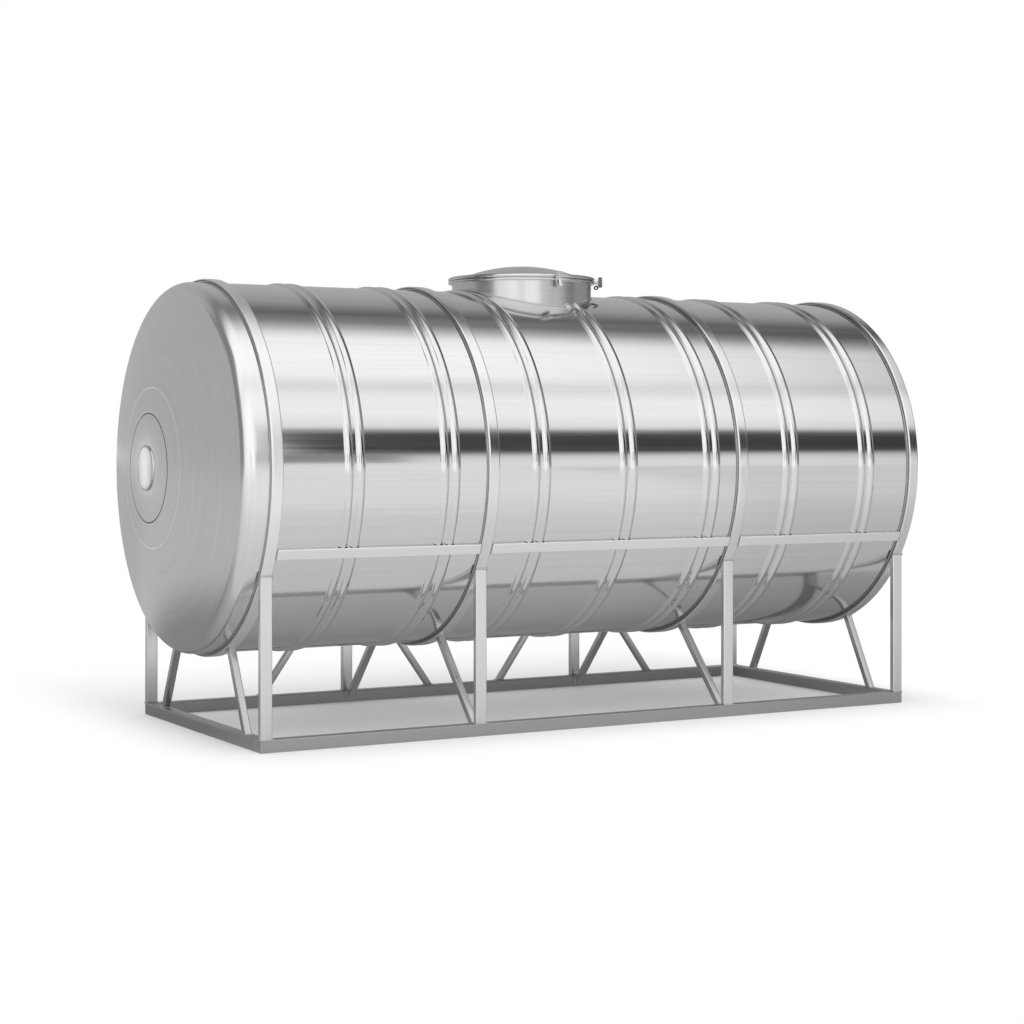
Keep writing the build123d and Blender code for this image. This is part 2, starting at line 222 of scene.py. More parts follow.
class TankStudio(bpy.types.PropertyGroup):
    """Camera and studio."""

    camera_place: FloatVectorProperty(
        name="Camera", description="Where the camera stands",
        default=(-4.5568, -8.0165, 1.2096), subtype="XYZ", unit="LENGTH",
    )
    camera_turn: angle("Camera turn", "From straight along the cross frames", 29.282)
    lens: FloatProperty(
        name="Lens", description="Focal length on a 36 mm sensor", default=73.47, unit="CAMERA"
    )
    picture_size: IntProperty(
        name="Picture size", description="Side of the square picture in pixels", default=1024
    )
    horizon_row: FloatProperty(
        name="Horizon row", description="Pixel row of the camera's own height", default=434.5
    )
    tent_radius: length("Tent radius", "Of the light tent that the steel mirrors", 40.0)
    tent_half_length: length("Tent half length", "Along the tank", 120.0)
    floor_size: length("Floor size", "Half side of the floor", 150.0)
    paper_front: length("Paper in front", "Over which the floor turns white in front", 0.85)
    paper_rear: length("Paper behind", "Over which the floor turns white behind", 2.1)
    paper_end: length("Paper at the ends", "Over which the floor turns white at the ends", 0.5)
    shadow_front: length("Shadow in front", "From the base's front to the darkest floor", 0.35)
    shadow_end: length("Shadow at the left", "From the base's left end to the darkest floor", 0.1)
    shadow_lift: FloatProperty(
        name="Shadow lift", description="Share of white that lightens the shadow on the floor",
        default=0.12, min=0, max=1, subtype="FACTOR",
    )


def node(tree, kind, inputs=None, **settings):
    """Adds a shader node with its settings, then sets or links its inputs by name or number.

    A node that is given as an input stands for its first output."""
    made = tree.nodes.new(f"ShaderNode{kind}")
    for name, value in settings.items():
        setattr(made, name, value)
    for key, value in (inputs or {}).items():
        if isinstance(value, bpy.types.Node):
            value = value.outputs[0]
        if isinstance(value, bpy.types.NodeSocket):
            tree.links.new(value, made.inputs[key])
        else:
            made.inputs[key].default_value = value
    return made


def start_material(name):
    """Empty node material, ready for its shader."""
    material = bpy.data.materials.new(name)
    material.use_nodes = True
    material.node_tree.nodes.clear()
    return material, material.node_tree


def grain_place(tree, lay, along, across):
    """Object coordinates stretched so that a pattern runs on for one size and repeats over another.

    lay is X, Y or Z for straight grain, TANK for grain round the tank, RINGS for rings on the ends and
    MANWAY for rings round the manway."""
    place = node(tree, "TexCoord").outputs["Object"]
    if lay in "XYZ":
        scale = [1 / along if axis == lay else 1 / across for axis in "XYZ"]
        return node(tree, "Mapping", {"Vector": place, "Scale": scale})
    line, first, second = ("Z", "X", "Y") if lay == "MANWAY" else ("X", "Y", "Z")
    centre = -MANWAY_LINE if lay == "MANWAY" else -TANK_LINE
    place = node(tree, "Mapping", {"Vector": place, "Location": centre})
    parts = node(tree, "SeparateXYZ", {"Vector": place}).outputs
    turn = node(tree, "Math", {0: parts[second], 1: parts[first]}, operation="ARCTAN2")
    plane = node(tree, "CombineXYZ", {0: parts[first], 1: parts[second]})
    reach = node(tree, "VectorMath", {0: plane}, operation="LENGTH").outputs["Value"]
    place = node(tree, "CombineXYZ", {0: turn, 1: reach, 2: parts[line]})
    scale = (1 / along, 1 / across, 1 / across)
    return node(tree, "VectorMath", {0: place, 1: scale}, operation="MULTIPLY")


def steel(name):
    """Steel whose finish runs one way: streaks in gloss and tint, fine relief, slow dents."""
    made = bpy.data.materials.get(name)
    if made:
        return made
    finish, rough, spread, lay, *millimetres = STEELS[name]
    along, across, groove, *dents = (size / 1000 for size in millimetres)
    tint = getattr(bpy.context.scene.tank_finishes, finish)
    dark = tuple(c * 0.9 for c in tint) + (1.0,)
    light = tuple(min(1.0, c * 1.04) for c in tint) + (1.0,)
    material, tree = start_material(name)
    place = grain_place(tree, lay, along, across)
    streak = node(tree, "TexNoise", {"Vector": place, "Scale": 1.0, "Detail": 4.0, "Roughness": 0.6})
    gloss = node(tree, "MapRange", {0: streak, 1: 0.3, 2: 0.7, 3: rough - spread, 4: rough + spread})
    shade = node(tree, "Mix", {0: streak, 6: dark, 7: light}, data_type="RGBA").outputs[2]
    relief = node(tree, "Bump", {"Height": streak, "Distance": groove, "Strength": 1.0})
    if dents:
        depth, size = dents
        place = node(tree, "TexCoord").outputs["Object"]
        cloud = node(
            tree, "TexNoise", {"Vector": place, "Scale": 1 / size, "Detail": 1.0, "Roughness": 0.4}
        )
        relief = node(
            tree, "Bump", {"Height": cloud, "Distance": depth, "Strength": 1.0, "Normal": relief}
        )
    metal = node(
        tree, "BsdfPrincipled",
        {"Base Color": shade, "Metallic": 1.0, "Roughness": gloss, "Normal": relief},
    )
    node(tree, "OutputMaterial", {"Surface": metal})
    return material


def arc(centre, radius, start, stop, steps):
    """Points of an arc in an outline's plane, its angles in degrees."""
    turns = [radians(start + (stop - start) * k / steps) for k in range(steps + 1)]
    return [(centre[0] + radius * cos(a), centre[1] + radius * sin(a)) for a in turns]


def turned(points, centre, axis, steps, closed=True):
    """Mesh spun a full round from an outline, with its seam and poles merged and its faces outwards."""
    kept = [points[0]]
    for point in points[1:]:
        if (point - kept[-1]).length > MERGE:
            kept.append(point)
    bm = bmesh.new()
    row = [bm.verts.new(p) for p in kept]
    edges = [bm.edges.new(pair) for pair in zip(row, row[1:])]
    if closed:
        edges.append(bm.edges.new((row[-1], row[0])))
    bmesh.ops.spin(
        bm, geom=row + edges, cent=centre, axis=axis, dvec=(0, 0, 0), angle=2 * pi, steps=steps,
        use_merge=True, use_duplicate=False,
    )
    bmesh.ops.remove_doubles(bm, verts=bm.verts, dist=MERGE)
    bmesh.ops.recalc_face_normals(bm, faces=bm.faces)
    return bm


def tank_round(outline, closed=True, steps=ROUND_STEPS):
    """Outline of places along the tank and radii, spun about the tank's axis."""
    points = [Vector((x, 0, AXIS_HEIGHT + radius)) for x, radius in outline]
    return turned(points, TANK_LINE, ALONG, steps, closed)


def manway_round(outline, closed=True):
    """Outline of radii and heights, spun about the manway's axis."""
    points = [Vector((MANWAY_X + radius, 0, z)) for radius, z in outline]
    return turned(points, MANWAY_LINE, UP, MANWAY_STEPS, closed)


def move(bm, by=(0, 0, 0), turn=None, about=(0, 0, 0)):
    """Turns a mesh about a point, then shifts it."""
    if turn is not None:
        bmesh.ops.rotate(bm, cent=about, matrix=turn, verts=bm.verts)
    bmesh.ops.translate(bm, vec=by, verts=bm.verts)


def box(low, high):
    """Box between two corners."""
    bm = bmesh.new()
    low, high = Vector(low), Vector(high)
    bmesh.ops.create_cube(bm, size=1)
    bmesh.ops.scale(bm, vec=high - low, verts=bm.verts)
    move(bm, (low + high) / 2)
    return bm


def round_bar(radius, depth, sides):
    """Round bar along Z, about the origin."""
    bm = bmesh.new()
    bmesh.ops.create_cone(
        bm, cap_ends=True, segments=sides, radius1=radius, radius2=radius, depth=depth
    )
    return bm


def rod(start, stop, radius, sides=12):
    """Round bar between two points."""
    start, stop = Vector(start), Vector(stop)
    line = stop - start
    bm = round_bar(radius, line.length, sides)
    move(bm, (start + stop) / 2, line.to_track_quat("Z", "Y").to_matrix())
    return bm


def only(geometry, kind):
    """Members of one kind in what a bmesh operator gives back."""
    return [g for g in geometry if isinstance(g, kind)]


def bail(width, depth, radius, sides=10):
    """Wire bent into a U that hangs in the XZ plane, its legs' tops at height 0."""
    bm = bmesh.new()
    half = width / 2
    bmesh.ops.create_circle(bm, cap_ends=False, segments=sides, radius=radius)
    move(bm, (-half, 0, 0))
    grown = bmesh.ops.extrude_edge_only(bm, edges=bm.edges[:])["geom"]
    verts = only(grown, BMVert)
    bmesh.ops.translate(bm, vec=(0, 0, half - depth), verts=verts)
    low = [e for e in only(grown, BMEdge) if all(v in verts for v in e.verts)]
    bend = bmesh.ops.spin(
        bm, geom=verts + low, cent=(0, 0, half - depth), axis=(0, -1, 0), dvec=(0, 0, 0), angle=pi, steps=12
    )["geom_last"]
    grown = bmesh.ops.extrude_edge_only(bm, edges=only(bend, BMEdge))["geom"]
    bmesh.ops.translate(bm, vec=(0, 0, depth - half), verts=only(grown, BMVert))
    bmesh.ops.holes_fill(bm, edges=bm.edges)
    bmesh.ops.recalc_face_normals(bm, faces=bm.faces)
    return bm


def trim(bm, point, away):
    """Cuts off what lies beyond a plane and closes the cut."""
    cut = bmesh.ops.bisect_plane(
        bm, geom=bm.verts[:] + bm.edges[:] + bm.faces[:], plane_co=point, plane_no=away, clear_outer=True
    )
    bmesh.ops.contextual_create(bm, geom=only(cut["geom_cut"], BMEdge))
    bmesh.ops.recalc_face_normals(bm, faces=bm.faces)


def round_off(bm, edges, width, segments):
    """Rounds some edges."""
    bmesh.ops.bevel(
        bm, geom=edges, offset=width, offset_type="OFFSET", segments=segments, profile=0.5, affect="EDGES",
        material=-1, clamp_overlap=True,
    )


def soften(bm, width, segments=3, sharpest=40):
    """Rounds every edge that is sharper than an angle in degrees."""
    edges = [e for e in bm.edges if e.is_manifold and e.calc_face_angle(0) > radians(sharpest)]
    round_off(bm, edges, width, segments)


def new_object(bm, name):
    """Object made from a bmesh, which is freed."""
    mesh = bpy.data.meshes.new(name)
    bm.to_mesh(mesh)
    bm.free()
    made = bpy.data.objects.new(name, mesh)
    bpy.context.scene.collection.objects.link(made)
    return made


def make_piece(bm, name, finish, stands_for=None, flat=False):
    """Turns a bmesh into a named piece of the tank, smooth but for its sharp edges."""
    piece = new_object(bm, name)
    piece.data.shade_smooth()
    piece.data.set_sharp_from_angle(angle=SHARP_ANGLE)
    piece.data.materials.append(steel(finish))
    if flat:
        keep_flat = piece.modifiers.new("Flat faces", "WEIGHTED_NORMAL")
        keep_flat.keep_sharp = True
    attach(piece, "root")
    if stands_for:
        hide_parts(stands_for)
    return piece


def join(*meshes):
    """One bmesh from several, which are freed."""
    whole = bmesh.new()
    for bm in meshes:
        loose = bpy.data.meshes.new("loose")
        bm.to_mesh(loose)
        bm.free()
        whole.from_mesh(loose)
        bpy.data.meshes.remove(loose)
    return whole


def seam_runs(bm, *planes):
    """Ends of the edges that lie in one of some planes, each given by a point and a direction."""
    runs = []
    for point, away in planes:
        point, away = Vector(point), Vector(away).normalized()
        touching = {v for v in bm.verts if abs((v.co - point).dot(away)) < 10 * MERGE}
        runs += [tuple(v.co.copy() for v in e.verts) for e in bm.edges if touching.issuperset(e.verts)]
    return runs


def make_welds(runs, name, sizes, share=1.0):
    """Weld beads along straight runs, as one piece."""
    beads = [rod(start, stop, sizes.weld_radius * share, sides=8) for start, stop in runs]
    make_piece(join(*beads), name, "cleaned_stainless_weld")


def bead_stations(sizes):
    """Places of all swaged beads along the tank."""
    half = (sizes.bead_pairs - 1) / 2
    for pair in range(sizes.bead_pairs):
        for side in (-1, 1):
            shift = sizes.bead_shift + (pair - half) * sizes.bead_pitch
            yield FRAME_MIDDLE + shift + side * sizes.bead_spacing / 2


def bead_lean(sizes):
    """Angle at which a bead's foot runs into its crown."""
    reach = sizes.bead_crown + sizes.bead_foot
    return acos((reach - sizes.bead_height) / reach)


def flat_run(start, stop, radius, step, support=0.002):
    """Points of a plain stretch of sheet, close together at its ends so that its shading stays straight."""
    if stop - start < 4 * support:
        return [(start, radius), (stop, radius)]
    first, last = start + support, stop - support
    count = max(1, round((last - first) / step))
    inner = [first + (last - first) * k / count for k in range(count + 1)]
    return [(x, radius) for x in (start, *inner, stop)]


def beaded_outline(sizes, start, stop, inset):
    """Outline of the shell between two places, set in by part of the wall, with its beads as arcs."""
    crown, foot = sizes.bead_crown - inset, sizes.bead_foot + inset
    radius = sizes.shell_radius - inset
    lean = bead_lean(sizes)
    reach = (crown + foot) * sin(lean)
    tilt = degrees(lean)
    points = []
    last = start
    for station in bead_stations(sizes):
        if start + reach < station < stop - reach:
            points += flat_run(last, station - reach, radius, sizes.flat_step)
            points += arc((station - reach, radius + foot), foot, -90, tilt - 90, 5)
            points += arc((station, radius + sizes.bead_height - crown), crown, 90 + tilt, 90 - tilt, 12)
            points += arc((station + reach, radius + foot), foot, 270 - tilt, 270, 5)
            last = station + reach
    return points + flat_run(last, stop, radius, sizes.flat_step)


def sheet_height(sizes, x, y):
    """Height of the shell's outside over a point near its top, beads included."""
    proud = 0.0
    for station in bead_stations(sizes):
        rest = sizes.bead_crown ** 2 - (x - station) ** 2
        if rest > 0:
            proud = max(proud, sqrt(rest) - sizes.bead_crown + sizes.bead_height)
    return AXIS_HEIGHT + sqrt((sizes.shell_radius + proud) ** 2 - y ** 2)


class WATERTANK_OT_shell_courses(bpy.types.Operator):
    """Rolls the three courses of the shell with their swaged beads"""

    bl_idname = "water_tank.shell_courses"
    bl_label = "Shell courses"

    def execute(self, context):
        sizes = context.scene.tank_sizes
        sheet = "bright_annealed_stainless_sheet"
        for course in ("shell_left", "shell_middle", "shell_right"):
            low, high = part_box(course)
            outside = beaded_outline(sizes, low.x, high.x, 0)
            inside = beaded_outline(sizes, low.x, high.x, sizes.sheet)
            bm = tank_round(outside + inside[::-1])
            piece = make_piece(bm, f"{course}_sheet", sheet, course)
            if course == "shell_middle":
                self.open_manway(piece, span("manway_neck").x / 2 - sizes.lip_width - sizes.neck_wall)
        return {"FINISHED"}

    def open_manway(self, piece, radius):
        """Cuts the round opening under the manway through the top of a course."""
        depth = RIM_HEIGHT - AXIS_HEIGHT
        bm = round_bar(radius, depth, MANWAY_STEPS)
        move(bm, MANWAY_LINE + UP * (AXIS_HEIGHT + depth / 2))
        cutter = new_object(bm, "opening")
        cut = piece.modifiers.new("Manway opening", "BOOLEAN")
        cut.operation = "DIFFERENCE"
        cut.solver = "EXACT"
        cut.object = cutter
        graph = bpy.context.evaluated_depsgraph_get()
        opened = bpy.data.meshes.new_from_object(piece.evaluated_get(graph))
        piece.modifiers.clear()
        piece.data = opened
        opened.set_sharp_from_angle(angle=SHARP_ANGLE)
        mesh = cutter.data
        bpy.data.objects.remove(cutter)
        bpy.data.meshes.remove(mesh)


class WATERTANK_OT_dished_ends(bpy.types.Operator):
    """Spins the two dished ends and sets the buffed pads on them"""

    bl_idname = "water_tank.dished_ends"
    bl_label = "Dished ends"

    # Places and depths of the rings that the spinning roller leaves, as shares of the shell's radius and
    # of the pad's height. The first ring is a dull groove, painted dark grey as painted shade
    ring_shares = ((0.293, 0.34), (0.427, 0.2), (0.567, 0.13))
    shoulder_share = 0.66

    def execute(self, context):
        sizes = context.scene.tank_sizes
        rings = [(sizes.shell_radius * r, sizes.pad_height * d) for r, d in self.ring_shares]
        for side, hand, knuckle in (("left", -1, sizes.deep_knuckle), ("right", 1, sizes.shallow_knuckle)):
            end = f"end_{side}"
            low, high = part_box(end)
            seam = high.x if hand < 0 else low.x
            reach = high.x - low.x
            outside = self.dish(sizes, reach, knuckle, rings, 0)
            inside = self.dish(sizes, reach, knuckle, (), sizes.sheet)
            bm = tank_round([(seam + hand * x, r) for x, r in outside[::-1] + inside], closed=False)
            for face in bm.faces:
                off = (face.calc_center_median() - TANK_LINE).yz.length - rings[0][0]
                # Faces in the first ring's groove take the dark edge material, as painted shade
                face.material_index = int(abs(off) < sizes.ring_width and face.normal.x * hand > 0)
            piece = make_piece(bm, f"{end}_dish", "satin_spun_stainless_end", end)
            piece.data.materials.append(steel("painted_shade_edge"))
            pad = self.pad(sizes, reach - sizes.pad_height)
            bm = tank_round([(seam + hand * x, r) for x, r in pad], closed=False, steps=PAD_STEPS)
            make_piece(bm, f"{end}_pad", "buffed_stainless_pad")
        return {"FINISHED"}

    def dish(self, sizes, reach, knuckle, rings, inset):
        """Outline of an end, from its seam over flange and knuckle to the pole. x runs out from the seam."""
        crown = sizes.crown_radius
        hub = sizes.shell_radius - knuckle
        depth = crown - sqrt((crown - knuckle) ** 2 - hub ** 2)
        flange = reach - sizes.pad_height - depth
        meeting = asin(hub / (crown - knuckle))
        outline = [(0, sizes.shell_radius - inset)]
        outline += arc((flange, hub), knuckle - inset, 90, degrees(meeting), 24)
        centre, radius = flange + depth - crown, crown - inset
        return outline + self.crown(centre, radius, radius * sin(meeting), rings, sizes.ring_width)

    def crown(self, centre, radius, widest, rings, ring_width):
        """Points of a dished crown from its rim in to the pole, sunk a little along the spinning rings."""
        radii = [widest * (1 - k / 48) for k in range(49)]
        for ring, _ in rings:
            radii += [ring + ring_width * k / 3 for k in range(-7, 8)]
        points = []
        for r in sorted(set(radii), reverse=True):
            sink = sum(depth * exp(-(((r - ring) / ring_width) ** 2)) for ring, depth in rings)
            points.append((centre + sqrt(radius ** 2 - r ** 2) - sink, r))
        return points

    def pad(self, sizes, apex):
        """Pad from the dish's surface over a rounded shoulder to its crowned middle."""
        edge, rise = sizes.pad_radius, sizes.pad_height
        dish = apex - edge ** 2 / (2 * sizes.crown_radius)
        shoulder = rise * self.shoulder_share
        sphere = edge ** 2 / (2 * (rise - shoulder))
        widest = asin((edge - shoulder) / sphere)
        turns = [widest * k / 12 for k in range(13)]
        top = [(apex + rise - sphere * (1 - cos(a)), sphere * sin(a)) for a in turns]
        foot = [(dish - sizes.sheet / 2, edge), (dish, edge)]
        return foot + arc((top[-1][0] - shoulder, edge - shoulder), shoulder, 90, 20, 5) + top[::-1]


class WATERTANK_OT_hoops(bpy.types.Operator):
    """Rolls the four flat-bar hoops, their slit side faces painted dark as painted shade of the gaps beside
    them
    """

    bl_idname = "water_tank.hoops"
    bl_label = "Hoops"

    # How squarely a face looks along the tank to count as a side of the bar, which is painted dark as
    # painted shade
    side_face = 0.97

    def execute(self, context):
        sizes = context.scene.tank_sizes
        for number in range(1, 5):
            hoop = f"hoop_{number}"
            low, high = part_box(hoop)
            outer = (high.z - low.z) / 2
            inner = outer - sizes.hoop_thickness
            bm = tank_round([(low.x, outer), (high.x, outer), (high.x, inner), (low.x, inner)])
            soften(bm, sizes.hoop_edge, segments=5)
            for face in bm.faces:
                # Side faces take the dark edge material: painted shade of the gaps beside the hoops
                face.material_index = int(abs(face.normal.x) > self.side_face)
            finish = "satin_stainless_bar_tank" if number == 1 else "buffed_stainless_bar"
            piece = make_piece(bm, f"{hoop}_bar", finish, hoop, flat=True)
            piece.data.materials.append(steel("painted_shade_edge"))
        return {"FINISHED"}


class WATERTANK_OT_side_rails(bpy.types.Operator):
    """Lays the side rails on the crests of the beads, from hoop to hoop"""

    bl_idname = "water_tank.side_rails"
    bl_label = "Side rails"

    def execute(self, context):
        sizes = context.scene.tank_sizes
        ground = "satin_stainless_bar_x"
        seat = sizes.shell_radius + sizes.bead_height + sizes.seat_gap
        top = AXIS_HEIGHT + sizes.rail_height / 2
        for name, side in SIDES.items():
            turn = Matrix.Rotation(-side * sizes.rail_angle, 3, "X")
            near, far = sorted((side * seat, side * (seat + sizes.rail_thickness)))
            lip_near, lip_far = sorted((side * sizes.shell_radius, side * (seat + sizes.bar_edge)))
            runs = []
            for bay in range(1, 4):
                rail = f"side_rail_{name}_{bay}"
                low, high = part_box(rail)
                strip = box((low.x, near, top - sizes.rail_height), (high.x, far, top))
                move(strip, turn=turn, about=TANK_LINE)
                runs += seam_runs(strip, (low, ALONG), (high, ALONG))
                upper = max(strip.edges, key=lambda e: abs(e.verts[0].co.y + e.verts[1].co.y))
                round_off(strip, [upper], sizes.rail_roll, 4)
                soften(strip, sizes.bar_edge)
                parts = [strip]
                for start, stop in self.plain_runs(sizes, low.x, high.x):
                    lip = box((start, lip_near, top - sizes.rail_lip), (stop, lip_far, top - sizes.seat_gap))
                    move(lip, turn=turn, about=TANK_LINE)
                    parts.append(lip)
                make_piece(join(*parts), f"{rail}_bar", ground, rail, flat=True)
            make_welds(runs, f"side_rail_welds_{name}", sizes, share=0.7)
        return {"FINISHED"}

    def plain_runs(self, sizes, start, stop):
        """Stretches between two places that no bead crosses, where the rail's lip turns in to the sheet."""
        reach = (sizes.bead_crown + sizes.bead_foot) * sin(bead_lean(sizes))
        for station in bead_stations(sizes):
            if start < station - reach and station + reach < stop:
                if station - reach - start > sizes.rail_lip:
                    yield start, station - reach
                start = station + reach
        yield start, stop


class WATERTANK_OT_base_rails(bpy.types.Operator):
    """Lays the base rectangle of square tube"""

    bl_idname = "water_tank.base_rails"
    bl_label = "Base rails"

    def execute(self, context):
        sizes = context.scene.tank_sizes
        for name, lay in (("front", "x"), ("rear", "x"), ("left", "y"), ("right", "y")):
            rail = f"base_rail_{name}"
            bm = box(*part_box(rail))
            soften(bm, sizes.tube_corner)
            make_piece(bm, f"{rail}_tube", f"mill_stainless_tube_{lay}", rail, flat=True)
        low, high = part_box("base_rail_front")
        seams = []
        for x in (low.x + high.z, high.x - high.z):
            for y in (low.y, -low.y):
                seams.append(((x, y, sizes.tube_corner), (x, y, high.z)))
                seams.append(((x, y, high.z), (x, y - copysign(high.z, y), high.z)))
        make_welds(seams, "base_welds", sizes, share=0.35)
        return {"FINISHED"}


class WATERTANK_OT_posts(bpy.types.Operator):
    """Stands the posts under the hoops, their tops cut to the hoops' round"""

    bl_idname = "water_tank.posts"
    bl_label = "Posts"

    def execute(self, context):
        sizes = context.scene.tank_sizes
        hoop = HOOP_RADIUS + sizes.seat_gap
        for name in SIDES:
            runs = []
            for number in range(1, 5):
                post = f"post_{name}_{number}"
                low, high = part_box(post)
                bm = box(low, high)
                middle_y = (low.y + high.y) / 2
                away = Vector((0, -middle_y, sqrt(hoop ** 2 - middle_y ** 2)))
                crown = Vector((0, middle_y, AXIS_HEIGHT - away.z))
                trim(bm, crown, away)
                runs += seam_runs(bm, (low, UP), (crown, away))
                soften(bm, sizes.tube_corner)
                make_piece(bm, f"{post}_tube", "satin_stainless_tube", post, flat=True)
            make_welds(runs, f"post_welds_{name}", sizes)
        return {"FINISHED"}


class WATERTANK_OT_struts(bpy.types.Operator):
    """Leans the struts from the base in to the hoops' undersides"""

    bl_idname = "water_tank.struts"
    bl_label = "Struts"

    def execute(self, context):
        sizes = context.scene.tank_sizes
        drop = sqrt((HOOP_RADIUS + sizes.seat_gap) ** 2 - sizes.strut_head ** 2)
        half = sizes.strut_size / 2
        rail_face = -BASE_FRONT - span("base_rail_front").y
        for name, side in SIDES.items():
            runs = []
            for number, station in enumerate(STATIONS, start=1):
                on_end_rail = number in (1, 4)
                foot_y = -BASE_FRONT - sizes.strut_foot_inset if on_end_rail else rail_face
                foot = Vector((station, side * foot_y, BASE_TOP if on_end_rail else BASE_TOP / 2))
                head = Vector((station, side * sizes.strut_head, AXIS_HEIGHT - drop))
                bm = box((-half, -half, -BASE_TOP), (half, half, (head - foot).length + BASE_TOP))
                lean = atan2(foot.y - head.y, head.z - foot.z)
                move(bm, foot, Matrix.Rotation(lean, 3, "X"))
                if on_end_rail:
                    trim(bm, foot, -UP)
                else:
                    trim(bm, (0, side * rail_face, 0), (0, side, 0))
                    trim(bm, (0, 0, 0), -UP)
                up_in = (0, -side * sizes.strut_head, drop)
                trim(bm, head, up_in)
                runs += seam_runs(bm, (foot, UP if on_end_rail else (0, 1, 0)), (head, up_in))
                soften(bm, sizes.tube_corner)
                strut = f"strut_{name}_{number}"
                make_piece(bm, f"{strut}_tube", "drawn_stainless_tube", strut, flat=True)
            make_welds(runs, f"strut_welds_{name}", sizes)
        return {"FINISHED"}


class WATERTANK_OT_braces(bpy.types.Operator):
    """Leans the rear braces against the inner posts"""

    bl_idname = "water_tank.braces"
    bl_label = "Braces"

    def execute(self, context):
        sizes = context.scene.tank_sizes
        post_face = span("post_rear_2").x / 2
        half = sizes.brace_width / 2
        low_y, high_y = -BASE_FRONT - sizes.post_depth, -BASE_FRONT
        places = [(station, side) for station in STATIONS[1:3] for side in (-1, 1)]
        runs = []
        for number, (station, side) in enumerate(places, start=1):
            foot = Vector((station + side * sizes.brace_run, 0, BASE_TOP))
            head = Vector((station + side * post_face, 0, POST_TOP - sizes.brace_head_drop))
            bm = box((-half, low_y, -BASE_TOP), (half, high_y, (head - foot).length + BASE_TOP))
            lean = atan2(head.x - foot.x, head.z - foot.z)
            move(bm, foot, Matrix.Rotation(lean, 3, "Y"))
            trim(bm, foot, -UP)
            trim(bm, head, (-side, 0, 0))
            runs += seam_runs(bm, (foot, UP), (head, ALONG))
            soften(bm, sizes.tube_corner)
            brace = f"brace_rear_{number}"
            make_piece(bm, f"{brace}_tube", "drawn_stainless_tube", brace, flat=True)
        make_welds(runs, "brace_welds", sizes)
        return {"FINISHED"}


class WATERTANK_OT_manway(bpy.types.Operator):
    """Turns the neck, coped to the shell and its beads, and the domed lid"""

    bl_idname = "water_tank.manway"
    bl_label = "Manway"

    def execute(self, context):
        sizes = context.scene.tank_sizes
        brushed = "brushed_stainless_manway"
        neck = LIP_RADIUS - sizes.lip_width
        inner = neck - sizes.neck_wall
        under_lip = RIM_HEIGHT - sizes.lip_thickness
        fillet = sizes.lip_thickness / 2
        outline = [(inner, AXIS_HEIGHT), (neck, AXIS_HEIGHT), (neck, under_lip - fillet)]
        outline += arc((neck + fillet, under_lip - fillet), fillet, 180, 90, 4)
        outline += [(LIP_RADIUS, under_lip), (LIP_RADIUS, RIM_HEIGHT), (inner, RIM_HEIGHT)]
        bm = manway_round(outline)
        for vert in bm.verts:
            if vert.co.z < AXIS_HEIGHT + MERGE:
                vert.co.z = sheet_height(sizes, vert.co.x, vert.co.y)
        make_piece(bm, "manway_neck_sheet", brushed, "manway_neck", flat=True)

        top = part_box("manway_lid")[1].z
        seat = RIM_HEIGHT + sizes.lip_thickness
        radius = LIP_RADIUS - sizes.lid_rim_width
        outline = self.dome(radius, top - seat, seat)[::-1] + [(LIP_RADIUS, seat), (LIP_RADIUS, RIM_HEIGHT)]
        outline += self.dome(radius - sizes.lid_wall, top - sizes.lid_wall - RIM_HEIGHT, RIM_HEIGHT)
        bm = manway_round(outline, closed=False)
        make_piece(bm, "manway_lid_dome", brushed, "manway_lid")
        return {"FINISHED"}

    def dome(self, radius, rise, base):
        """Arc of a dome from its rim in to its top."""
        sphere = (radius ** 2 + rise ** 2) / (2 * rise)
        widest = degrees(asin(radius / sphere))
        return arc((0, base + rise - sphere), sphere, 90 - widest, 90, 24)


class WATERTANK_OT_clamp_ring(bpy.types.Operator):
    """Rolls the clamp ring with its two rounded beads"""

    bl_idname = "water_tank.clamp_ring"
    bl_label = "Clamp ring"

    def execute(self, context):
        sizes = context.scene.tank_sizes
        throat = LIP_RADIUS + sizes.seat_gap
        outer = throat + sizes.ring_bulge
        low = (RIM_HEIGHT - CLAMP_BOTTOM) / 2
        high = (CLAMP_TOP - RIM_HEIGHT) / 2
        above = RIM_HEIGHT + sizes.lip_thickness + sizes.seat_gap
        below = RIM_HEIGHT - sizes.lip_thickness - sizes.seat_gap
        neck = LIP_RADIUS - sizes.lip_width + sizes.seat_gap
        leg = LIP_RADIUS - sizes.ring_leg
        outline = arc((outer - low, CLAMP_BOTTOM + low), low, -90, 86, 12)
        outline += arc((outer - high, RIM_HEIGHT + high), high, -86, 90, 16)
        outline += [(leg, CLAMP_TOP), (leg, above), (throat, above)]
        outline += [(throat, below), (neck, below), (neck, CLAMP_BOTTOM)]
        ring = "bright_rolled_stainless_clamp"
        make_piece(manway_round(outline), "clamp_ring_band", ring, "clamp_ring", flat=True)
        return {"FINISHED"}


